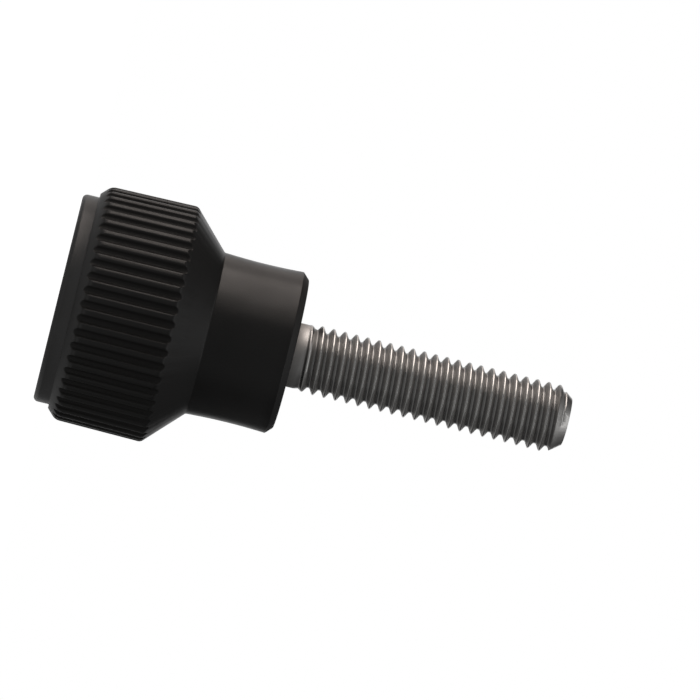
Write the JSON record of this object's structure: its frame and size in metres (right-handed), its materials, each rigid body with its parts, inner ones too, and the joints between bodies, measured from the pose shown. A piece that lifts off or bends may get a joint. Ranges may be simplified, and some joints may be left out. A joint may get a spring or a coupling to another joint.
{
  "type": "knurled knob",
  "caption": "Black moulded hand knob with a straight-knurled grip, conical shoulder and slim hub on a stainless threaded stud, for clamping by hand.",
  "frame": {"origin": "centre of the end disc's flat face, which is the lowest point of the standing knob", "axes": "+Z along the stud, from the disc to the tip; +X passes through the top of one ridge"},
  "size_m": [0.0206, 0.0206, 0.0448],
  "materials": {
    "moulding": "black glass-filled nylon with a fine matte mould texture",
    "stainless": "rolled stainless steel, satin on the thread and brighter on the plain neck"
  },
  "bodies": {
    "root": {"knob_head": "moulding", "threaded_stud": "stainless"}
  },
  "joints": []
}
